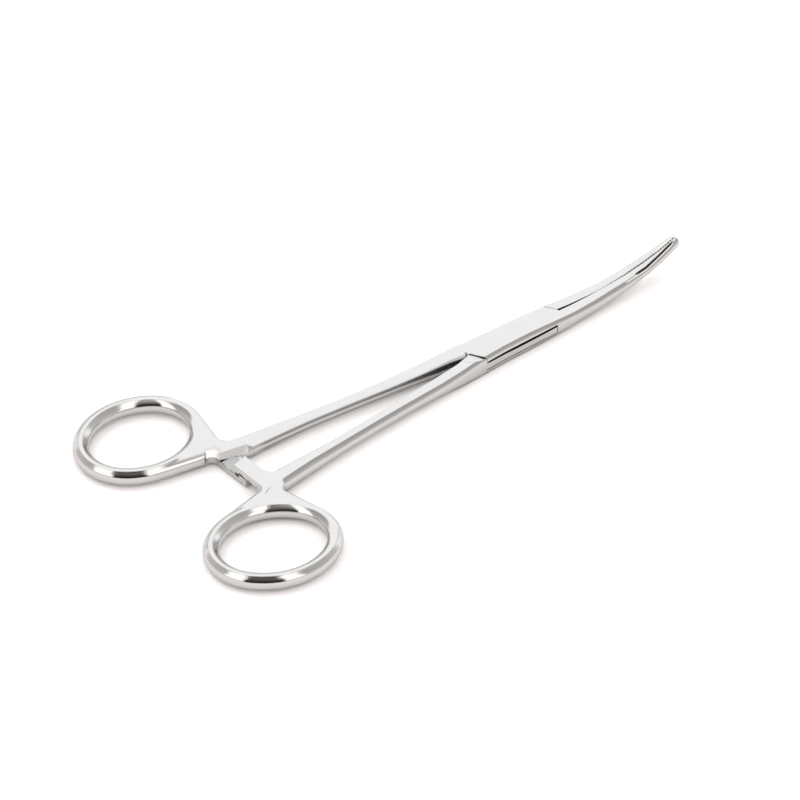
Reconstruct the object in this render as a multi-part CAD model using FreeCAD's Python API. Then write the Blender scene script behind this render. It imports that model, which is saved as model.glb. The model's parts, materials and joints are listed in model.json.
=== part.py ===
import FreeCAD, Part
import math
import os
from FreeCAD import Vector

# Curved box-lock haemostat, jaws closed, in millimetres.
# X runs along the instrument towards the jaw tips, Z along the pivot, and the origin is on the
# pivot axis at the bottom face of the box. The female half has its ring at +Y and its jaw at -Y.

# Thicknesses
box_thickness = 4.2
ring_thickness = 3.3
plate_thickness = 1.05
slot_clearance = 0.07
middle = box_thickness / 2

# Pivot
pin_radius = 1.6
pin_clearance = 0.03

# Rounding from a flat to a side: the slope where it leaves the flat, and its steps
rounding_start = 19.0
rounding_steps = 4

# Knee between ring, shank and ratchet bar
outer_knee_x = -65.6
outer_knee_y = 10.9
outer_knee_radius = 3.05
ring_knee_x = outer_knee_x - 7.05
ring_knee_y = 6.85
ring_knee_radius = 1.65
corner_radius = 1.5
inner_knee_x = outer_knee_x + 1.1
inner_knee_y = 2.4
inner_knee_radius = 3.4

# Finger ring, measured at the edge of its flat top
ring_centre_x = outer_knee_x - 14.02
ring_centre_y = 21.55
ring_hole_long = 12.15
ring_hole_short = 10.25
ring_end_radius = 9.0
ring_tilt = 8.0
ring_flat = 1.1
ring_round_out = 1.0
ring_round_in = 1.15
ring_round_height = ring_thickness / 2 - 0.15

# Shank: place along X, flat's inner and outer edge, thickness, rounding in, out and down
shank_start = outer_knee_x + 7.6
shank_end = -12.4
knee_round_in = 0.85
shank_stations = [
    (shank_start, 4.99, 6.81, ring_thickness, knee_round_in, ring_round_out, ring_round_height),
    (-50.0, 4.40, 5.92, 2.90, 0.60, 0.95, 1.30),
    (-40.0, 3.42, 4.99, 2.75, 0.50, 0.90, 1.22),
    (-30.0, 2.41, 4.28, 2.75, 0.50, 0.85, 1.20),
    (-22.0, 1.76, 3.88, 2.95, 0.50, 0.80, 1.18),
    (-16.0, 1.38, 3.54, 3.70, 0.50, 0.76, 1.05),
    (shank_end, 0.75, 3.20, box_thickness, 0.50, 0.75, 0.95),
]

# Box: place along X, half width of its flat, thickness
box_front = 12.4
box_stations = [
    (shank_end, 3.20, box_thickness),
    (-5.0, 2.72, box_thickness),
    (2.0, 2.62, box_thickness),
    (7.0, 2.56, 3.75),
    (box_front, 2.50, 3.25),
]
box_round_out = 0.75
box_round_height = 0.95

# Lock: where the plates end and the tongue's shoulders lie
rear_crotch = (-12.2, 0.30)
rear_mouth_side = (-9.9, -4.20)
front_crotch = (11.9, 0.28)
front_mouth_side = (9.85, 3.50)
mouth_clearance = 0.06
ramp_length = 2.4
ramp_depth = 0.30
shoulder_radius = 9.62
shoulder_clearance = 0.08
tongue_inset = 0.10
tongue_relief_width = 0.90
tongue_relief_depth = 0.35
rear_gap = 0.10

# Jaws: place along X, half width of the flat, thickness, rounding out and down, and the
# place of the flat's inner edge, which slopes to the teeth from there on
jaw_bend_start = 18.4
jaw_bend_radius = 73.0
jaw_tip = 44.1
jaw_stations = [
    (box_front, 2.50, 3.25, box_round_out, box_round_height, -0.45),
    (15.0, 2.36, 2.95, 0.76, 0.97, -0.42),
    (20.0, 2.05, 2.80, 0.78, 1.02, -0.30),
    (25.0, 1.70, 2.68, 0.82, 1.04, 0.05),
    (30.0, 1.52, 2.42, 0.86, 1.04, 0.20),
    (35.0, 1.28, 2.24, 0.92, 1.02, 0.30),
    (38.5, 1.02, 2.24, 0.94, 1.00, 0.38),
    (41.5, 0.72, 2.30, 0.94, 0.98, 0.42),
    (43.3, 0.50, 2.32, 0.88, 0.94, 0.36),
    (jaw_tip, 0.36, 2.10, 0.66, 0.78, 0.22),
]
jaw_gap_root = 0.33
jaw_gap_closed = 0.03
jaw_overlap = 0.5
inner_slope = 0.6

# Serrations
serration_start = 23.0
serration_pitch = 0.66
serration_depth = 0.30

# Ratchet bars, with places counted from the middle line towards the bar's own ring
bar_width = 3.4
bar_left = ring_knee_x + corner_radius
male_bar_end = -2.5
female_bar_end = -2.05
male_first_notch = -0.1
female_first_notch = 0.2
bar_end_slant = 0.9
tooth_pitch = 2.7
male_tooth_depth = 0.5
female_tooth_depth = 0.8
tooth_count = 3
ratchet_clearance = 0.10

# Walls beside the bars' roots: the top edge, and the line where the wall meets the bar
wall_left_y = 6.43
wall_right_x = inner_knee_x - 0.4
wall_right_y = 5.15
wall_foot_y = 5.3
wall_cut_end = inner_knee_x - 0.9

far = 200.0


def polygon(points, z=0.0):
    corners = [Vector(x, y, z) for x, y in points]
    return Part.makePolygon(corners + corners[:1])


def prism(points, low, high):
    return Part.Face(polygon(points, low)).extrude(Vector(0, 0, high - low))


def mirrored(shape):
    return shape.mirror(Vector(0, 0, 0), Vector(0, 1, 0))


def turned(point, degrees):
    angle = math.radians(degrees)
    x, y = point
    return (x * math.cos(angle) - y * math.sin(angle), x * math.sin(angle) + y * math.cos(angle))


def on_circle(centre, radius, angle):
    return (centre[0] + radius * math.cos(angle), centre[1] + radius * math.sin(angle))


def arc(centre, radius, start, end, z):
    """An arc from the start angle to the end angle, the way that the difference of the two says."""
    points = [on_circle(centre, radius, a) for a in (start, (start + end) / 2, end)]
    return Part.Arc(*[Vector(x, y, z) for x, y in points]).toShape()


def line(start, end, z):
    return Part.makeLine(Vector(start[0], start[1], z), Vector(end[0], end[1], z))


def rounding(width, height):
    """Steps from a flat's edge round to the side: how far out and how far down."""
    start = math.radians(rounding_start)
    steps = []
    for index in range(rounding_steps + 1):
        angle = start + (math.pi / 2 - start) * index / rounding_steps
        out = (math.sin(angle) - math.sin(start)) / (1 - math.sin(start))
        down = (math.cos(start) - math.cos(angle)) / math.cos(start)
        steps.append((out * width, down * height))
    return steps


def side_of(flat, half, width, height):
    """One side of a section, from the bottom flat's edge round to the top flat's edge."""
    steps = [(flat + out, half - down) for out, down in rounding(width, height)]
    return [(y, -z) for y, z in steps] + [(y, z) for y, z in reversed(steps)]


def section(x, points):
    corners = [Vector(x, y, middle + z) for y, z in points]
    return Part.makePolygon(corners + corners[:1])


# The ring's oval is four tangent arcs
end_offset = ring_hole_long - ring_end_radius
ring_side_radius = (ring_hole_short ** 2 + end_offset ** 2 - ring_end_radius ** 2) / (
    2 * (ring_hole_short - ring_end_radius)
)
side_offset = ring_side_radius - ring_hole_short
junction = math.atan2(side_offset, end_offset)
tilt = math.radians(ring_tilt)


def ring_point(point):
    x, y = turned(point, ring_tilt)
    return (ring_centre_x + x, ring_centre_y + y)


front_end = ring_point((end_offset, 0))
rear_end = ring_point((-end_offset, 0))
side_above = ring_point((0, side_offset))
side_below = ring_point((0, -side_offset))


def oval(growth, z):
    """The closed oval, grown from the edge of the hole's flat."""
    end = ring_end_radius + growth
    side = ring_side_radius + growth
    edges = [
        arc(front_end, end, tilt - junction, tilt + junction, z),
        arc(side_below, side, tilt + junction, tilt + math.pi - junction, z),
        arc(rear_end, end, tilt + math.pi - junction, tilt + math.pi + junction, z),
        arc(side_above, side, tilt + math.pi + junction, tilt + 2 * math.pi - junction, z),
    ]
    return Part.Wire(edges)


def inner_tangent(c1, r1, c2, r2, turn):
    """Angle of the normal, from the first circle, of a line that passes between two circles."""
    dx = c2[0] - c1[0]
    dy = c2[1] - c1[1]
    return math.atan2(dy, dx) + turn * math.acos((r1 + r2) / math.hypot(dx, dy))


def wall_y(x):
    share = (x - bar_left) / (wall_right_x - bar_left)
    return wall_left_y + share * (wall_right_y - wall_left_y)


def plate_outline(outer, inner, z):
    """Outline of ring, neck and knee; outer and inner are how far it stands out past the flat."""
    outer_knee = (outer_knee_x, outer_knee_y)
    ring_knee = (ring_knee_x, ring_knee_y)
    outer_radius = outer_knee_radius - outer
    left_radius = ring_knee_radius - outer
    end = ring_end_radius + ring_flat + outer
    side = ring_side_radius + ring_flat + outer
    shank_out = (shank_start, shank_stations[0][2] + outer)
    shank_in = (shank_start, shank_stations[0][1] - inner)
    dx = shank_out[0] - outer_knee[0]
    dy = shank_out[1] - outer_knee[1]
    leave = math.atan2(dy, dx) - math.acos(outer_radius / math.hypot(dx, dy))
    up = inner_tangent(front_end, end, outer_knee, outer_radius, 1)
    across = inner_tangent(side_above, side, ring_knee, left_radius, -1)
    wall = (wall_right_x, wall_right_y - inner)
    foot = (wall_cut_end, wall_y(wall_cut_end) - inner)
    stop = 0.0
    for _ in range(20):
        x, y = on_circle(ring_knee, left_radius, stop)
        stop += (wall_y(x) - y) / left_radius
    ring_up = up % (2 * math.pi)
    if ring_up > math.pi:
        ring_up -= 2 * math.pi
    knee_from = leave % (2 * math.pi)
    knee_to = ring_up + math.pi
    lower = across % (2 * math.pi)
    edges = [
        line(shank_out, on_circle(outer_knee, outer_radius, knee_from), z),
        arc(outer_knee, outer_radius, knee_from, knee_to, z),
        line(on_circle(outer_knee, outer_radius, knee_to), on_circle(front_end, end, ring_up), z),
        arc(front_end, end, ring_up, tilt + junction, z),
        arc(side_below, side, tilt + junction, tilt + math.pi - junction, z),
        arc(rear_end, end, tilt + math.pi - junction, tilt + math.pi + junction, z),
        arc(side_above, side, tilt + math.pi + junction, lower, z),
        line(on_circle(side_above, side, lower), on_circle(ring_knee, left_radius, lower - math.pi), z),
        arc(ring_knee, left_radius, lower - math.pi, stop, z),
        line(on_circle(ring_knee, left_radius, stop), foot, z),
        line(foot, wall, z),
        line(wall, shank_in, z),
        line(shank_in, shank_out, z),
    ]
    return Part.Wire(edges)


def stacked(outlines):
    """A solid through flat outlines at rising heights."""
    return Part.makeLoft(outlines, True, True)


def wall_cut(low, high):
    """Room beside the wall: over the female bar the wall leans back from its foot to the flat."""
    sections = []
    for x in (ring_knee_x - corner_radius, wall_cut_end):
        top = wall_y(x) + 0.05
        lean = (top - wall_foot_y) / (high - low)
        sections.append(Part.makePolygon([
            Vector(x, wall_foot_y, low), Vector(x, top + lean, high + 1),
            Vector(x, -far, high + 1), Vector(x, -far, low), Vector(x, wall_foot_y, low),
        ]))
    return Part.makeLoft(sections, True, True)


def corner_cut(low, high):
    """The upright corner between the bar and the neck of the ring."""
    tall = high - low + 2
    disc = Part.makeCylinder(corner_radius, tall, Vector(ring_knee_x, ring_knee_y, low - 1))
    below = Part.makeBox(2 * corner_radius, ring_knee_y + far, tall)
    below.translate(Vector(ring_knee_x - corner_radius, -far, low - 1))
    return disc.fuse(below)


def handle_plate(is_female):
    """Ring, neck and knee, with a round section between flats at the top and bottom."""
    low = middle - ring_thickness / 2
    high = middle + ring_thickness / 2
    steps = rounding(1, ring_round_height)
    levels = [(out, low + down) for out, down in steps]
    levels += [(out, high - down) for out, down in reversed(steps)]
    body = stacked([plate_outline(out * ring_round_out, out * knee_round_in, z) for out, z in levels])
    hole = stacked([oval(-out * ring_round_in, z) for out, z in levels])
    room = wall_cut(middle - ratchet_clearance / 2, high)
    if not is_female:
        room = room.mirror(Vector(0, 0, middle), Vector(0, 0, 1))
    return body.cut([hole, corner_cut(low, high), room])


def shank():
    sections = []
    for x, flat_in, flat_out, thickness, round_in, round_out, height in shank_stations:
        outside = side_of(flat_out, thickness / 2, round_out, height)
        inside = side_of(-flat_in, thickness / 2, round_in, height)
        sections.append(section(x, outside + [(-y, z) for y, z in reversed(inside)]))
    return Part.makeLoft(sections, True, True)


def ratchet_bar(end, first_notch, tooth_depth, is_female):
    """One half of the overlap: the female bar is the lower one with its teeth up."""
    left = bar_left
    right = left + bar_width
    knee = (inner_knee_x, inner_knee_y)
    radius = inner_knee_x - right
    top_of_knee = (inner_knee_x, inner_knee_y + radius)
    inside = wall_left_y + 1.0
    left_end = end if is_female else end + bar_end_slant
    edges = [
        line((left, inside), (left, left_end), 0),
        line((left, left_end), (right, end), 0),
        line((right, end), (right, inner_knee_y), 0),
        arc(knee, radius, math.pi, math.pi / 2, 0),
        line(top_of_knee, (left, inside), 0),
    ]
    face = Part.Face(Part.Wire(edges))
    height = ring_thickness / 2 - ratchet_clearance / 2
    bar = face.extrude(Vector(0, 0, height))
    for index in range(tooth_count):
        peak = first_notch + index * tooth_pitch
        notch = Part.makePolygon([
            Vector(left - 1, peak, height - tooth_depth),
            Vector(left - 1, peak + tooth_pitch, height + 0.01),
            Vector(left - 1, peak, height + 0.01),
            Vector(left - 1, peak, height - tooth_depth),
        ])
        bar = bar.cut(Part.Face(notch).extrude(Vector(bar_width + 2, 0, 0)))
    bar.translate(Vector(0, 0, middle - ring_thickness / 2))
    if is_female:
        return bar
    return bar.mirror(Vector(0, 0, middle), Vector(0, 0, 1))


def box_blank():
    sections = []
    for x, flat, thickness in box_stations:
        side = side_of(flat, thickness / 2, box_round_out, box_round_height)
        sections.append(section(x, side + [(-y, z) for y, z in reversed(side)]))
    return Part.makeLoft(sections, True, True)


def tongue_blank():
    """The layer between the plates, relieved along its upper edges."""
    half = middle - plate_thickness - slot_clearance
    sections = []
    for x, flat, thickness in box_stations:
        wide = flat + box_round_out - tongue_inset
        narrow = wide - tongue_relief_width
        side = [
            (wide, -half), (wide, half - tongue_relief_depth), (narrow, half),
        ]
        sections.append(section(x, side + [(-y, z) for y, z in reversed(side)]))
    return Part.makeLoft(sections, True, True)


def bend(x):
    """Place and slope of the jaws' centre line above a point of the X axis."""
    run = max(0.0, x - jaw_bend_start)
    angle = math.asin(run / jaw_bend_radius)
    return middle + jaw_bend_radius * (1 - math.cos(angle)), angle


def jaw():
    """The jaw on the +Y side, with its inner face past the middle for the serrations."""
    sections = []
    for x, flat, thickness, round_out, round_height, inner_edge in jaw_stations:
        height, angle = bend(x)
        half = thickness / 2
        side = side_of(flat, half, round_out, round_height)
        drop = inner_slope * (jaw_overlap + inner_edge)
        corners = [(-jaw_overlap, -half)] + side + [(inner_edge, half), (-jaw_overlap, half - drop)]
        points = [Vector(x - n * math.sin(angle), y, height + n * math.cos(angle)) for y, n in corners]
        sections.append(Part.makePolygon(points + points[:1]))
    return Part.makeLoft(sections, True, True)


def across_jaw(points, x):
    """A cutter with the given plan, standing square to the jaws' centre line at x."""
    height, angle = bend(x)
    up = Vector(-math.sin(angle), 0, math.cos(angle))
    face = Part.Face(polygon(points, height))
    face.translate(up * (-2 * box_thickness))
    return face.extrude(up * (4 * box_thickness))


def serrated(blank, first):
    """Cuts the inner face of a +Y jaw: a tapering gap, then grooves square to the centre line."""
    tooth_tip = jaw_gap_closed - serration_depth / 2
    root = box_front - 1
    past_tip = jaw_tip + box_thickness
    blank = blank.cut(across_jaw([
        (root, jaw_gap_root), (serration_start, jaw_gap_closed), (serration_start, tooth_tip),
        (past_tip, tooth_tip), (past_tip, -box_thickness), (root, -box_thickness),
    ], serration_start))
    grooves = []
    count = math.ceil((jaw_tip + box_thickness / 2 - serration_start) / serration_pitch)
    for index in range(count):
        x = serration_start + (index + first) * serration_pitch
        grooves.append(across_jaw([
            (x, tooth_tip + serration_depth), (x - serration_pitch / 2, tooth_tip),
            (x - serration_pitch / 2, tooth_tip - 1), (x + serration_pitch / 2, tooth_tip - 1),
            (x + serration_pitch / 2, tooth_tip),
        ], x))
    return blank.cut(grooves)


def offset_line(start, end, distance):
    dx = end[0] - start[0]
    dy = end[1] - start[1]
    length = math.hypot(dx, dy)
    shift = (-dy / length * distance, dx / length * distance)
    return (start[0] + shift[0], start[1] + shift[1]), (end[0] + shift[0], end[1] + shift[1])


def stretched(start, end, factor):
    return (start[0] + (end[0] - start[0]) * factor, start[1] + (end[1] - start[1]) * factor)


def mouth_corner(crotch, side, distance):
    """Plan of the corner that lies past a mouth of the box, moved off the mouth's line."""
    sign = 1 if crotch[0] > 0 else -1
    near, out = offset_line(crotch, side, -distance)
    out = stretched(near, out, 1.6)
    limit = sign * (box_front + 1)
    return [(limit, near[1]), near, out, (limit, out[1])]


def lock_room(gap, radius, rear_edge, front_edge):
    """Plan shapes of the middle layer: the disc of the shoulders and the two open corners."""
    rear = [(shank_end - 1, rear_edge), (0, rear_edge), (0, -far), (shank_end - 1, -far)]
    front = [(box_front + 1, front_edge), (0, front_edge), (0, far), (box_front + 1, far)]
    low = plate_thickness + gap
    high = box_thickness - plate_thickness - gap
    disc = Part.makeCylinder(radius, high - low, Vector(0, 0, low))
    return disc.fuse([prism(rear, low, high), prism(front, low, high)])


def mouth_ramp(crotch, side):
    """Wedge that lowers the male half's top and bottom towards a mouth."""
    near, out = crotch, stretched(crotch, side, 1.6)
    sign = 1 if crotch[0] > 0 else -1
    dx = out[0] - near[0]
    dy = out[1] - near[1]
    length = math.hypot(dx, dy)
    away = Vector(-dy / length, dx / length, 0) * -1
    start = Vector(near[0], near[1], 0) - Vector(dx, dy, 0) * 0.6
    top = box_thickness
    wedge = Part.Face(Part.makePolygon([
        start + Vector(0, 0, top - ramp_depth), start + away * ramp_length + Vector(0, 0, top),
        start + Vector(0, 0, top + 1), start + Vector(0, 0, top - ramp_depth),
    ])).extrude(Vector(dx, dy, 0) * 2)
    return [wedge, wedge.mirror(Vector(0, 0, middle), Vector(0, 0, 1))]


def female_half():
    blank = serrated(jaw(), 0.5)
    box = box_blank()
    corners = [
        prism(mouth_corner(rear_crotch, rear_mouth_side, 0), -1, box_thickness + 1),
        prism(mouth_corner(front_crotch, front_mouth_side, 0), -1, box_thickness + 1),
        prism([(front_crotch[0], -jaw_gap_root), (box_front + 1, -jaw_gap_root),
               (box_front + 1, front_crotch[1] + 1), (front_crotch[0], front_crotch[1] + 1)],
              -1, box_thickness + 1),
        prism([(shank_end - 1, rear_gap), (rear_crotch[0], rear_gap),
               (rear_crotch[0], -far), (shank_end - 1, -far)], -1, box_thickness + 1),
    ]
    room = lock_room(0, shoulder_radius + shoulder_clearance, rear_gap, -jaw_gap_root)
    bore = Part.makeCylinder(pin_radius, box_thickness + 2, Vector(0, 0, -1))
    box = box.cut(corners + [room, bore])
    bar = ratchet_bar(female_bar_end, female_first_notch, female_tooth_depth, True)
    return handle_plate(True).fuse([shank(), bar, box, mirrored(blank)]).removeSplitter()


def male_half():
    blank = serrated(jaw(), 0)
    corners = [
        prism(mouth_corner(rear_crotch, rear_mouth_side, mouth_clearance), -1, box_thickness + 1),
        prism(mouth_corner(front_crotch, front_mouth_side, mouth_clearance), -1, box_thickness + 1),
    ]
    own_sides = [
        prism([(shank_end - 1, -rear_gap), (0, -rear_gap), (0, -far), (shank_end - 1, -far)],
              -1, box_thickness + 1),
        prism([(box_front + 1, jaw_gap_root), (0, jaw_gap_root), (0, far), (box_front + 1, far)],
              -1, box_thickness + 1),
    ]
    roots = box_blank().common(Part.makeCompound(corners)).common(Part.makeCompound(own_sides))
    room = lock_room(slot_clearance, shoulder_radius, -rear_gap, jaw_gap_root)
    tongue = tongue_blank().common(room)
    bar = ratchet_bar(male_bar_end, male_first_notch, male_tooth_depth, False)
    handle = mirrored(handle_plate(False).fuse([shank(), bar]))
    whole = handle.fuse([roots, tongue, blank])
    bore = Part.makeCylinder(pin_radius + pin_clearance, box_thickness + 2, Vector(0, 0, -1))
    ramps = mouth_ramp(rear_crotch, rear_mouth_side) + mouth_ramp(front_crotch, front_mouth_side)
    return whole.cut([bore] + ramps).removeSplitter()


def pivot_pin():
    return Part.makeCylinder(pin_radius, box_thickness).common(box_blank())


os.makedirs("parts", exist_ok=True)
nodes = {"female_half": female_half(), "male_half": male_half(), "pivot_pin": pivot_pin()}
for name, shape in nodes.items():
    solids = shape.Solids
    print(name, "solids", len(solids), "valid", shape.isValid(), "volume", round(shape.Volume, 1))
    solid = solids[0] if len(solids) == 1 else shape
    solid.exportStep("parts/" + name + ".step")
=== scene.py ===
import bpy
import json
import math
from mathutils import Matrix, Vector

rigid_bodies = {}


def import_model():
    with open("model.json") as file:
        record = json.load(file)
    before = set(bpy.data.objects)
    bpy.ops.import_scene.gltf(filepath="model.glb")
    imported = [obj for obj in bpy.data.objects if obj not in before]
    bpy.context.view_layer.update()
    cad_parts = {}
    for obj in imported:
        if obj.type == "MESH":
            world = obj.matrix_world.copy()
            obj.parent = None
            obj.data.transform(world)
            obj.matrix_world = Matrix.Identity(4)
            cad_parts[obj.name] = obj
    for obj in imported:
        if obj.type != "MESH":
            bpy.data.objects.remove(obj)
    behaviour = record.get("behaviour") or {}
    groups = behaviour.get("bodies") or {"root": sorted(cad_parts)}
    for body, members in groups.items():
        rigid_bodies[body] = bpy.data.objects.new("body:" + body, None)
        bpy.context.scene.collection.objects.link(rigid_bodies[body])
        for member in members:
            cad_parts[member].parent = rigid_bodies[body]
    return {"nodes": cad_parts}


for item in list(bpy.data.objects):
    bpy.data.objects.remove(item)
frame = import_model()
bpy.context.view_layer.update()

# Camera, fitted to the picture: focal length in pixels and the direction back from the object
picture_size = 800
focal = 6000
elevation = math.radians(37.601)
azimuth = math.radians(-39.298)
camera_distance = 1.22509
aim_column = 513.5
aim_row = 332.27
aim = Vector((0, 0, 0.003675))

# Steps of a rounding meet below this angle in degrees, flats and sides above it
smooth_below = 19.5
merge_distance = 0.000001

# Steel: its colours, and how rough its roundings and its flats are
clean_colour = (0.89, 0.89, 0.89, 1)
clouded_colour = (0.58, 0.585, 0.60, 1)
# dark_colour is painted shade and painted dark reflection: in crevices, gaps and the slot, on faces of the
# far half, and on thin dark lines
dark_colour = (0.012, 0.011, 0.011, 1)
polished = 0.09
satin = 0.27
flat_from = (0.89, 0.925)

# Texture of the steel: scales per metre, shares in colour and roughness, and height of the grain in metres
cloud_scale = 260
speckle_scale = 2600
grain_scale = (1500, 9000, 9000)
cloud_in_colour = 0.20
speckle_in_colour = 0.12
cloud_in_roughness = 0.06
speckle_on_crown = 5.0
grain_strength = 0.16
grain_height = 0.00002

# Rounding of the edges and reach of the crevices in metres, and how open to light a crevice is; closed
# crevices get painted shade in the steel's colour
edge_radius = 0.00007
crevice_reach = 0.0006
crevice_light = (0.42, 0.84)

# The far half is female_half, which has the far ring and the near jaw, and the near half is male_half.
# Ground faces of the far half look in these directions. The first mirrors the soft box at the right.
white_side = (-0.229, -0.655, 0.720)
facet_normal = (-0.499, -0.610, 0.616)
bevel_normal = (0.0, -0.1, 0.99)
wall_normal = (-0.10, -0.85, 0.52)

# From here to the crown of the rings all places are in millimetres, as x, y and z of the frame
millimetres_per_metre = 1000.0

# Heights above which a look belongs to the top of the shanks, jaws, rings and box
shank_top_above = 2.95
jaw_top_above = 3.0
ring_top_above = 3.2
box_top_above = 3.45

# Lines of painted shade on top of the halves, in the gaps at the edges of the lock: both ends, half width
# and share of dark
lock_lines = (
    ((11.95, 0.25), (9.85, 3.45), 0.07, 1.0),
    ((-12.35, 0.32), (-9.9, -4.2), 0.06, 1.0),
)
# Thin dark lines on top of the near half, the same way: one by its knee, and a fainter one along the edge
# of the slope by the lock, which is painted shade at that edge
near_half_lines = (
    ((-70.1, -8.5), (-72.0, -9.45), 0.07, 0.75),
    ((-14.8, -0.9), (-13.4, -3.4), 0.06, 0.30),
)

# Painted shade in the seam between the teeth of the closed jaws
seam_ends = (30.5, 43.4)
seam_half_width = 0.14
seam_dark = 0.5

# Painted shade in the slot along the sides of the near half: the shaded band's floor is lowest at the pin
# and rises with the square of x
slot_ends = (-9.75, 9.45)
slot_floor = 2.38
slot_floor_rise = 0.0022
slot_top = 3.3
slot_side = 2.2

# Ground stripes on the near jaw: middle is their y at the bend, spread is how fast they run out before it,
# and past it both run in towards the tip at one slope
stripe_bend = (32.3, 34.3)
stripe_slope = 0.107
stripe_end = 42.6
dark_facet = {"start": 31.4, "middle": -1.60, "spread": 0.0, "half_width": 0.24, "softness": 0.10}
bright_flank = {"start": 28.2, "middle": -1.90, "spread": 0.012, "half_width": 0.13, "softness": 0.09}
# facet_dark is the dark facet's share of painted dark reflection in the steel's colour, besides its turned
# normal
facet_dark = 0.6
flank_share = 0.85

# Blocks of the far half that have a look of their own: both limits on each axis and their softness
knee_corner = ((-73.05, -70.2, 0.1), (6.52, 9.2, 0.04), (2.05, 4.2, 0.02))
wall_over_bar = ((-72.3, -65.2, 0.05), (4.0, 7.2, 0.05), (2.0, 3.72, 0.02))
# covered_bar is the top of the far half's ratchet bar under the near half's bar; covered_bar_dark is its
# share of painted shade
covered_bar = ((-71.3, -67.6, 0.02), (0.5, 5.35, 0.02), (1.2, 2.3, 0.02))
inner_bevel = ((-65.3, -9.0, 1.5), (-0.2, 5.6, 0.3))
inner_side = ((-62.0, -12.4, 1.2), (-0.6, 5.6, 0.3))
covered_bar_dark = 0.30
bevel_share = 0.65

# Painted dark bands along the far shank's inner side, a painted reflection of the near shank. Of two
# numbers, the second is for the end near the lock.
bands_change = (-29.0, -19.0)
upper_band_middle = (2.62, 2.38)
upper_band_half_width = (0.24, 0.66)
upper_band_dark = (0.46, 0.80)
lower_band_middle = (1.50, 0.95)
lower_band_half_width = 0.18
lower_band_dark = 0.58
band_softness = 0.14

# Finger rings: centre of the far one, half sizes of the hole at the flat, and its tilt
ring_centre = (-79.62, 21.55)
ring_hole = (12.15, 10.25)
ring_tilt = math.radians(8.0)

# Crowned bands of a ring's flat, by the distance out from the hole: where each fades in and out
inner_crown_in = (-0.84, -0.72)
inner_crown_out = (0.05, 0.42)
outer_crown_in = (0.68, 1.05)
outer_crown_out = (1.60, 1.74)

# Ends of the bands at the shank, along the ring: the outer one ends early on the side of the other ring
inner_crown_end = (1.0, 13.0)
outer_crown_ends = (-0.5, 15.0)
ring_sides = (1.0, 7.0)

# Lean of a crowned band: to the hole inside the divide and away from it outside, and the part that looks up
crown_divide = 0.55
crown_lean = 0.77
crown_upright = 0.64
oval_ratio = 1.4

# Table top: half its size and the gap under the object in metres, its colour, and its colour as mirrored in
# the steel, painted darker there as painted shade
floor_half_size = 3.0
floor_gap = 0.00005
floor_colour = (0.96, 0.96, 0.96, 1)
mirrored_floor_colour = (0.600, 0.592, 0.582, 1)

# Surroundings that the steel mirrors: degrees to the side of the viewer, and for heights above the table.
# Where both sides differ, the first number is for the left.
strip_half_width = 28
strip_top = 79
box_start = 29
box_ends = (68, 56)
box_heights = (9, 76)
white_starts = (128, 119)
grey_heights = (0, 45)
ceiling_from = 64
horizon = -0.5

# Strength of the light from them
strip_light = (0.012, 0.42)
strip_light_heights = (25, 79)
box_light = 1.25
grey_light = (0.58, 0.385)
ceiling_light = 0.85
white_light = 1.0
light_from_below = 0.7
warm_light = (1.0, 0.962, 0.925, 1)
neutral_light = (1, 1, 1, 1)

# Light of the surroundings on the table top
room_colour = (1.0, 0.96, 0.945, 1)
room_light = 1.36

# Lamp: its place and what it points at in metres, its size and its power in watts
lamp_place = Vector((-0.30, 0.45, 0.85))
lamp_aim = Vector((-0.02, 0, 0))
lamp_size = 0.5
lamp_power = 1.2


def camera_axes():
    back = Vector((
        math.sin(azimuth) * math.cos(elevation),
        -math.cos(azimuth) * math.cos(elevation),
        math.sin(elevation),
    ))
    right = Vector((math.cos(azimuth), math.sin(azimuth), 0))
    return right, back.cross(right), back


def make_camera():
    right, up, back = camera_axes()
    metres_per_pixel = camera_distance / focal
    place = aim + back * camera_distance
    place -= right * (aim_column - picture_size / 2) * metres_per_pixel
    place += up * (aim_row - picture_size / 2) * metres_per_pixel
    data = bpy.data.cameras.new("camera")
    data.sensor_width = 36
    data.lens = focal / picture_size * data.sensor_width
    data.clip_start = 0.05
    data.clip_end = 20
    camera = bpy.data.objects.new("camera", data)
    turn = Matrix((right, up, back)).transposed().to_4x4()
    camera.matrix_world = Matrix.Translation(place) @ turn
    bpy.context.scene.collection.objects.link(camera)
    bpy.context.scene.camera = camera


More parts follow.
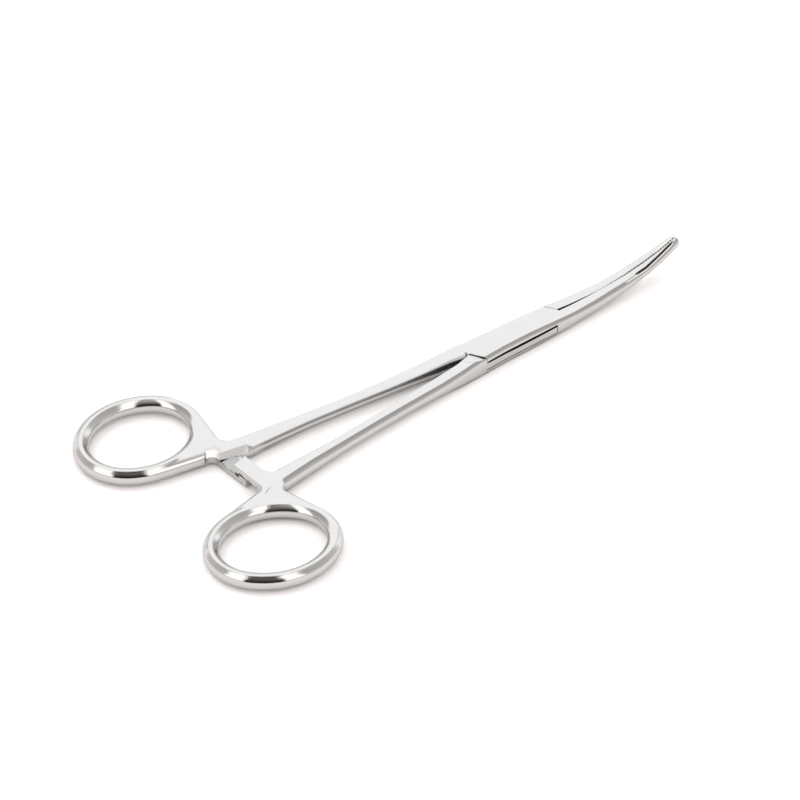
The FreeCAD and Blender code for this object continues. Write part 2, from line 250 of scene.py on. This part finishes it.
class Graph:
    """A small helper that adds nodes to a node tree, joins them and works out numbers with them."""

    # Inputs of a mix node for its two values, and its output, for each kind of value
    mix_sockets = {"FLOAT": (2, 3, 0), "VECTOR": (4, 5, 1), "RGBA": (6, 7, 2)}

    def __init__(self, tree):
        self.tree = tree
        tree.nodes.clear()

    def add(self, kind, **values):
        node = self.tree.nodes.new(kind)
        for name, value in values.items():
            setattr(node, name, value)
        return node

    def join(self, out, into):
        self.tree.links.new(out, into)

    def feed(self, socket, value):
        if isinstance(value, bpy.types.NodeSocket):
            self.join(value, socket)
        else:
            socket.default_value = value

    def math(self, operation, a, b=0.0):
        node = self.add("ShaderNodeMath", operation=operation)
        self.feed(node.inputs[0], a)
        self.feed(node.inputs[1], b)
        return node.outputs[0]

    def plus(self, a, b):
        return self.math("ADD", a, b)

    def minus(self, a, b):
        return self.math("SUBTRACT", a, b)

    def over(self, a, b):
        return self.math("DIVIDE", a, b)

    def times(self, first, *others):
        for other in others:
            first = self.math("MULTIPLY", first, other)
        return first

    def most(self, first, *others):
        for other in others:
            first = self.math("MAXIMUM", first, other)
        return first

    def least(self, a, b):
        return self.math("MINIMUM", a, b)

    def size(self, value):
        """The number without its sign."""
        return self.math("ABSOLUTE", value)

    def length(self, a, b):
        """How long a line is that runs a one way and b at right angles to it."""
        return self.math("SQRT", self.plus(self.times(a, a), self.times(b, b)))

    def dot(self, vector, direction):
        node = self.add("ShaderNodeVectorMath", operation="DOT_PRODUCT")
        self.feed(node.inputs[0], vector)
        node.inputs[1].default_value = direction
        return node.outputs["Value"]

    def ramp(self, value, low, high, start=0.0, end=1.0, smooth=True):
        """The start up to the low value, the end from the high one on, and a slope between them."""
        node = self.add("ShaderNodeMapRange", interpolation_type="SMOOTHSTEP" if smooth else "LINEAR")
        self.feed(node.inputs["Value"], value)
        for name, number in (("From Min", low), ("From Max", high), ("To Min", start), ("To Max", end)):
            self.feed(node.inputs[name], number)
        return node.outputs["Result"]

    def fall(self, value, low, high):
        """One up to the low value and zero from the high one on."""
        return self.ramp(value, low, high, 1.0, 0.0)

    def above(self, value, edge, softness):
        """One above the edge and zero below it."""
        return self.ramp(value, edge - softness, edge + softness)

    def below(self, value, edge, softness):
        """One below the edge and zero above it."""
        return self.fall(value, edge - softness, edge + softness)

    def inside(self, value, low, high, softness):
        """One between the two edges and zero outside them."""
        return self.times(self.above(value, low, softness), self.below(value, high, softness))

    def band(self, value, middle, half_width, softness):
        """One within the half width of the middle and zero further off."""
        off = self.size(self.minus(value, middle))
        return self.below(self.minus(off, half_width), 0.0, softness)

    def line(self, x, y, start, end, half_width):
        """One on a straight line between two places and zero off it."""
        length = math.dist(start, end)
        run_x = (end[0] - start[0]) / length
        run_y = (end[1] - start[1]) / length
        along = self.plus(self.times(x, run_x), self.times(y, run_y))
        across = self.minus(self.times(y, run_x), self.times(x, run_y))
        first = start[0] * run_x + start[1] * run_y
        middle = start[1] * run_x - start[0] * run_y
        near = self.band(across, middle, half_width, softness=half_width / 2)
        return self.times(near, self.inside(along, first, first + length, softness=0.05))

    def mix(self, kind, share, a, b):
        """The value a where the share is 0 and b where it is 1."""
        first, second, out = self.mix_sockets[kind]
        node = self.add("ShaderNodeMix", data_type=kind)
        for index, value in ((0, share), (first, a), (second, b)):
            self.feed(node.inputs[index], value)
        return node.outputs[out]

    def blend(self, share, a, b):
        return self.mix("FLOAT", share, a, b)

    def colours(self, share, a, b):
        return self.mix("RGBA", share, a, b)

    def noise(self, vector, scale, detail, roughness=0.5):
        node = self.add("ShaderNodeTexNoise")
        self.join(vector, node.inputs["Vector"])
        node.inputs["Scale"].default_value = scale
        node.inputs["Detail"].default_value = detail
        node.inputs["Roughness"].default_value = roughness
        return node.outputs["Fac"]

    def stretched(self, vector, scale):
        node = self.add("ShaderNodeMapping")
        self.join(vector, node.inputs["Vector"])
        node.inputs["Scale"].default_value = scale
        return node.outputs["Vector"]


def smooth_roundings():
    """Smooth shading over the small steps of a rounding, with the edges of flats kept sharp."""
    tree = bpy.data.node_groups.new("smooth_roundings", "GeometryNodeTree")
    tree.interface.new_socket("Geometry", in_out="INPUT", socket_type="NodeSocketGeometry")
    tree.interface.new_socket("Geometry", in_out="OUTPUT", socket_type="NodeSocketGeometry")
    g = Graph(tree)
    start = g.add("NodeGroupInput")
    end = g.add("NodeGroupOutput")
    clear = g.add("GeometryNodeRemoveAttribute")
    clear.inputs["Name"].default_value = "custom_normal"
    merge = g.add("GeometryNodeMergeByDistance")
    merge.inputs["Distance"].default_value = merge_distance
    faces = g.add("GeometryNodeSetShadeSmooth", domain="FACE")
    all_edges = g.add("GeometryNodeSetShadeSmooth", domain="EDGE")
    sharp = g.add("GeometryNodeSetShadeSmooth", domain="EDGE")
    sharp.inputs["Shade Smooth"].default_value = False
    angle = g.add("GeometryNodeInputMeshEdgeAngle").outputs["Unsigned Angle"]
    steep = g.add("FunctionNodeCompare", data_type="FLOAT", operation="GREATER_THAN")
    g.join(angle, steep.inputs[0])
    steep.inputs[1].default_value = math.radians(smooth_below)
    g.join(steep.outputs[0], sharp.inputs["Selection"])
    steps = [start, clear, merge, faces, all_edges, sharp, end]
    for before, after in zip(steps[:-1], steps[1:]):
        g.join(before.outputs[0], after.inputs[0])
    return tree


def new_material(name, shader_kind):
    """A material with one shader, its graph and that shader."""
    material = bpy.data.materials.new(name)
    material.use_nodes = True
    g = Graph(material.node_tree)
    shader = g.add(shader_kind)
    out = g.add("ShaderNodeOutputMaterial")
    g.join(shader.outputs[0], out.inputs["Surface"])
    return material, g, shader


def block(g, place, limits):
    """One inside the limits on each axis and zero outside them."""
    return g.times(*[g.inside(value, *limit) for value, limit in zip(place, limits)])


def dark_lines(g, name, place):
    """Shares of painted shade in the gaps, seam and slot, and of thin dark lines."""
    x, y, z = place
    lines = lock_lines + near_half_lines if name == "male_half" else lock_lines
    on_top = g.above(z, box_top_above, softness=0.05)
    marks = [g.times(g.line(x, y, *ends, half_width), on_top, dark) for *ends, half_width, dark in lines]
    seam = g.band(y, 0.0, seam_half_width, softness=0.06)
    marks.append(g.times(seam, g.inside(x, *seam_ends, softness=1.5), seam_dark))
    # Painted shade in the slot under the plates of the lock
    if name == "male_half":
        floor = g.plus(g.times(x, x, slot_floor_rise), slot_floor)
        slot = g.times(g.above(g.minus(z, floor), 0.0, softness=0.03), g.below(z, slot_top, softness=0.02))
        slot = g.times(slot, g.above(g.size(y), slot_side, softness=0.05))
        marks.append(g.times(slot, g.inside(x, *slot_ends, softness=0.2)))
    return marks


def jaw_stripe(g, place, start, middle, spread, half_width, softness):
    """Share of a ground stripe along the near jaw, which follows the jaw in to the tip."""
    x, y, z = place
    before_bend = g.most(g.minus(stripe_bend[0], x), 0.0)
    past_bend = g.most(g.minus(x, stripe_bend[1]), 0.0)
    centre = g.plus(g.times(past_bend, stripe_slope), middle)
    centre = g.minus(centre, g.times(before_bend, spread))
    length = g.inside(x, start, stripe_end, softness=1.0)
    share = g.band(y, centre, g.times(length, half_width), softness)
    return g.times(share, length, g.above(z, jaw_top_above, softness=0.2))


def shank_shade(g, place):
    """Painted dark bands between the shanks: painted reflections, where they mirror each other."""
    x, y, z = place
    near_lock = g.ramp(x, *bands_change, smooth=False)
    middle = g.blend(near_lock, *upper_band_middle)
    half_width = g.blend(near_lock, *upper_band_half_width)
    upper = g.times(g.band(z, middle, half_width, band_softness), g.blend(near_lock, *upper_band_dark))
    middle = g.blend(near_lock, *lower_band_middle)
    lower = g.times(g.band(z, middle, lower_band_half_width, band_softness), lower_band_dark)
    return g.times(g.most(upper, lower), block(g, place, inner_side))


def ring_crown(g, place):
    """Where the flat of a finger ring is crowned, and the way its surface leans there."""
    x, y, z = place
    along = g.minus(x, ring_centre[0])
    across = g.minus(g.size(y), ring_centre[1])
    cosine = math.cos(ring_tilt)
    sine = math.sin(ring_tilt)
    long_way = g.plus(g.times(along, cosine), g.times(across, sine))
    short_way = g.minus(g.times(across, cosine), g.times(along, sine))
    reach = g.length(g.over(long_way, ring_hole[0]), g.over(short_way, ring_hole[1]))
    off = g.times(g.minus(reach, 1.0), sum(ring_hole) / 2)
    inner = g.least(g.ramp(off, *inner_crown_in), g.fall(off, *inner_crown_out))
    inner = g.times(inner, g.fall(long_way, *inner_crown_end))
    outer = g.least(g.ramp(off, *outer_crown_in), g.fall(off, *outer_crown_out))
    end = g.blend(g.ramp(across, *ring_sides), *outer_crown_ends)
    outer = g.times(outer, g.below(g.minus(long_way, end), 0.0, softness=2.0))
    share = g.times(g.most(inner, outer), g.above(z, ring_top_above, softness=0.1))
    outward = g.minus(g.times(g.above(off, crown_divide, softness=0.02), 2.0), 1.0)
    across = g.times(across, oval_ratio)
    size = g.over(g.times(outward, crown_lean), g.length(along, across))
    lean = g.add("ShaderNodeCombineXYZ")
    parts = (g.times(along, size), g.times(across, size, g.math("SIGN", y)), crown_upright)
    for socket, value in zip(lean.inputs, parts):
        g.feed(socket, value)
    return share, lean.outputs[0]


def leaned(g, share, normal, target):
    """The normal turned by the share towards a direction that is fixed to the piece."""
    fixed = g.add("ShaderNodeVectorTransform", vector_type="NORMAL")
    fixed.convert_from = "OBJECT"
    fixed.convert_to = "WORLD"
    g.feed(fixed.inputs[0], target)
    unit = g.add("ShaderNodeVectorMath", operation="NORMALIZE")
    g.join(g.mix("VECTOR", share, normal, fixed.outputs[0]), unit.inputs[0])
    return unit.outputs[0]


def ground_faces(g, place, normal):
    """The normal of the far half, turned where its faces are ground at a slant."""
    bevel = g.times(block(g, place, inner_bevel), g.above(place[2], shank_top_above, softness=0.12))
    faces = (
        (g.times(jaw_stripe(g, place, **bright_flank), flank_share), white_side),
        (jaw_stripe(g, place, **dark_facet), facet_normal),
        (g.times(bevel, bevel_share), bevel_normal),
        (block(g, place, wall_over_bar), wall_normal),
        (block(g, place, knee_corner), white_side),
    )
    for share, target in faces:
        normal = leaned(g, share, normal, target)
    return normal


def dark_share(g, name, place):
    """Share of painted shade and painted dark reflection in the steel's colour: crevices, gaps, thin lines,
    and what faces of the far half mirror.
    """
    # Painted shade: the colour turns dark where ambient occlusion finds a closed crevice
    crevice = g.add("ShaderNodeAmbientOcclusion", samples=12)
    crevice.inputs["Distance"].default_value = crevice_reach
    shade = g.fall(crevice.outputs["AO"], *crevice_light)
    marks = dark_lines(g, name, place)
    if name == "female_half":
        ground = g.most(block(g, place, wall_over_bar), block(g, place, knee_corner))
        shade = g.times(shade, g.minus(1.0, ground))
        # Painted dark reflection on the jaw's dark facet
        marks.append(g.times(jaw_stripe(g, place, **dark_facet), facet_dark))
        # Painted shade on the top of the far half's bar, under the near half's bar
        marks.append(g.times(block(g, place, covered_bar), covered_bar_dark))
        marks.append(shank_shade(g, place))
    return g.most(shade, *marks)


def steel(name):
    """Satin flats, polished roundings and painted shade in the crevices of one forging."""
    material, g, shader = new_material(name, "ShaderNodeBsdfPrincipled")
    spot = g.add("ShaderNodeTexCoord").outputs["Object"]
    split = g.add("ShaderNodeSeparateXYZ")
    g.join(spot, split.inputs[0])
    place = [g.times(socket, millimetres_per_metre) for socket in split.outputs]
    cloud = g.noise(spot, cloud_scale, detail=4, roughness=0.6)
    speckle = g.noise(spot, speckle_scale, detail=3, roughness=0.6)
    grain = g.noise(g.stretched(spot, grain_scale), scale=1, detail=2)

    cloudiness = g.plus(g.times(cloud, cloud_in_colour), g.times(speckle, speckle_in_colour))
    base = g.colours(cloudiness, clean_colour, clouded_colour)
    # The steel's colour turns dark where painted shade and painted reflection fall
    base = g.colours(dark_share(g, name, place), base, dark_colour)
    g.join(base, shader.inputs["Base Color"])
    shader.inputs["Metallic"].default_value = 1

    edge = g.add("ShaderNodeBevel", samples=6)
    edge.inputs["Radius"].default_value = edge_radius
    normal = edge.outputs["Normal"]
    flat = g.ramp(g.size(g.dot(normal, (0, 0, 1))), *flat_from)
    rough = g.plus(g.blend(flat, polished, satin), g.times(cloud, cloud_in_roughness))
    g.join(rough, shader.inputs["Roughness"])

    if name == "female_half":
        normal = ground_faces(g, place, normal)
    if name != "pivot_pin":
        crown, lean = ring_crown(g, place)
        normal = leaned(g, crown, normal, lean)
        grain = g.plus(grain, g.times(speckle, crown, speckle_on_crown))
    bump = g.add("ShaderNodeBump")
    bump.inputs["Strength"].default_value = grain_strength
    bump.inputs["Distance"].default_value = grain_height
    g.join(grain, bump.inputs["Height"])
    g.join(normal, bump.inputs["Normal"])
    g.join(bump.outputs["Normal"], shader.inputs["Normal"])
    return material


def paper():
    """White table top that fades into the white around it and keeps the shadow; in the steel's reflections
    it is painted darker, as painted shade.
    """
    material, g, shader = new_material("floor", "ShaderNodeBsdfDiffuse")
    mirrored = g.add("ShaderNodeLightPath").outputs["Is Glossy Ray"]
    g.join(g.colours(mirrored, floor_colour, mirrored_floor_colour), shader.inputs["Color"])
    return material


def make_floor():
    half = floor_half_size
    corners = [(-half, -half, 0), (half, -half, 0), (half, half, 0), (-half, half, 0)]
    mesh = bpy.data.meshes.new("floor")
    mesh.from_pydata(corners, [], [(0, 1, 2, 3)])
    floor = bpy.data.objects.new("floor", mesh)
    floor.location = (0, 0, -floor_gap)
    mesh.materials.append(paper())
    bpy.context.scene.collection.objects.link(floor)


def surroundings(g):
    """Strength and colour of what the steel mirrors: a dark strip over the viewer, soft boxes beside it."""
    direction = g.add("ShaderNodeTexCoord").outputs["Generated"]
    toward = (math.sin(azimuth), -math.cos(azimuth), 0)
    right = (math.cos(azimuth), math.sin(azimuth), 0)
    turn = g.math("ARCTAN2", g.dot(direction, right), g.dot(direction, toward))
    turn = g.math("DEGREES", turn)
    height = g.math("DEGREES", g.math("ARCSINE", g.dot(direction, (0, 0, 1))))
    off = g.size(turn)
    at_right = g.above(turn, 0.0, softness=1)

    grey = g.ramp(height, *grey_heights, *grey_light)
    grey = g.blend(g.above(height, ceiling_from, softness=6), grey, ceiling_light)
    white = g.above(g.minus(off, g.blend(at_right, *white_starts)), 0.0, softness=6)
    level = g.blend(white, grey, white_light)

    before_end = g.below(g.minus(off, g.blend(at_right, *box_ends)), 0.0, softness=2.5)
    in_box = g.times(g.above(off, box_start, softness=1), before_end)
    in_box = g.times(in_box, g.inside(height, *box_heights, softness=2.5))
    level = g.blend(in_box, level, box_light)

    in_strip = g.times(g.below(off, strip_half_width, softness=0.8), g.below(height, strip_top, softness=2))
    level = g.blend(in_strip, level, g.ramp(height, *strip_light_heights, *strip_light))
    level = g.blend(g.above(height, horizon, softness=0.5), light_from_below, level)
    return level, g.colours(white, warm_light, neutral_light)


def make_world():
    """Surroundings in the steel's mirror, and an even light from all around on everything else."""
    world = bpy.data.worlds.new("studio")
    bpy.context.scene.world = world
    world.use_nodes = True
    g = Graph(world.node_tree)
    level, colour = surroundings(g)
    seen = g.add("ShaderNodeBackground")
    g.join(colour, seen.inputs["Color"])
    g.join(level, seen.inputs["Strength"])
    room = g.add("ShaderNodeBackground")
    room.inputs["Color"].default_value = room_colour
    room.inputs["Strength"].default_value = room_light
    mix = g.add("ShaderNodeMixShader")
    g.join(g.add("ShaderNodeLightPath").outputs["Is Glossy Ray"], mix.inputs[0])
    g.join(room.outputs[0], mix.inputs[1])
    g.join(seen.outputs[0], mix.inputs[2])
    out = g.add("ShaderNodeOutputWorld")
    g.join(mix.outputs[0], out.inputs["Surface"])


def make_lamp():
    data = bpy.data.lights.new("key", "AREA")
    data.size = lamp_size
    data.energy = lamp_power
    lamp = bpy.data.objects.new("key", data)
    lamp.location = lamp_place
    lamp.rotation_euler = (lamp_aim - lamp_place).to_track_quat("-Z", "Y").to_euler()
    lamp.visible_glossy = False
    bpy.context.scene.collection.objects.link(lamp)


make_camera()
roundings = smooth_roundings()
for node_name, node in frame["nodes"].items():
    node.data.materials[0] = steel(node_name)
    node.modifiers.new("smooth_roundings", "NODES").node_group = roundings
make_floor()
make_world()
make_lamp()
bpy.context.scene.view_settings.view_transform = "Standard"
bpy.context.view_layer.update()
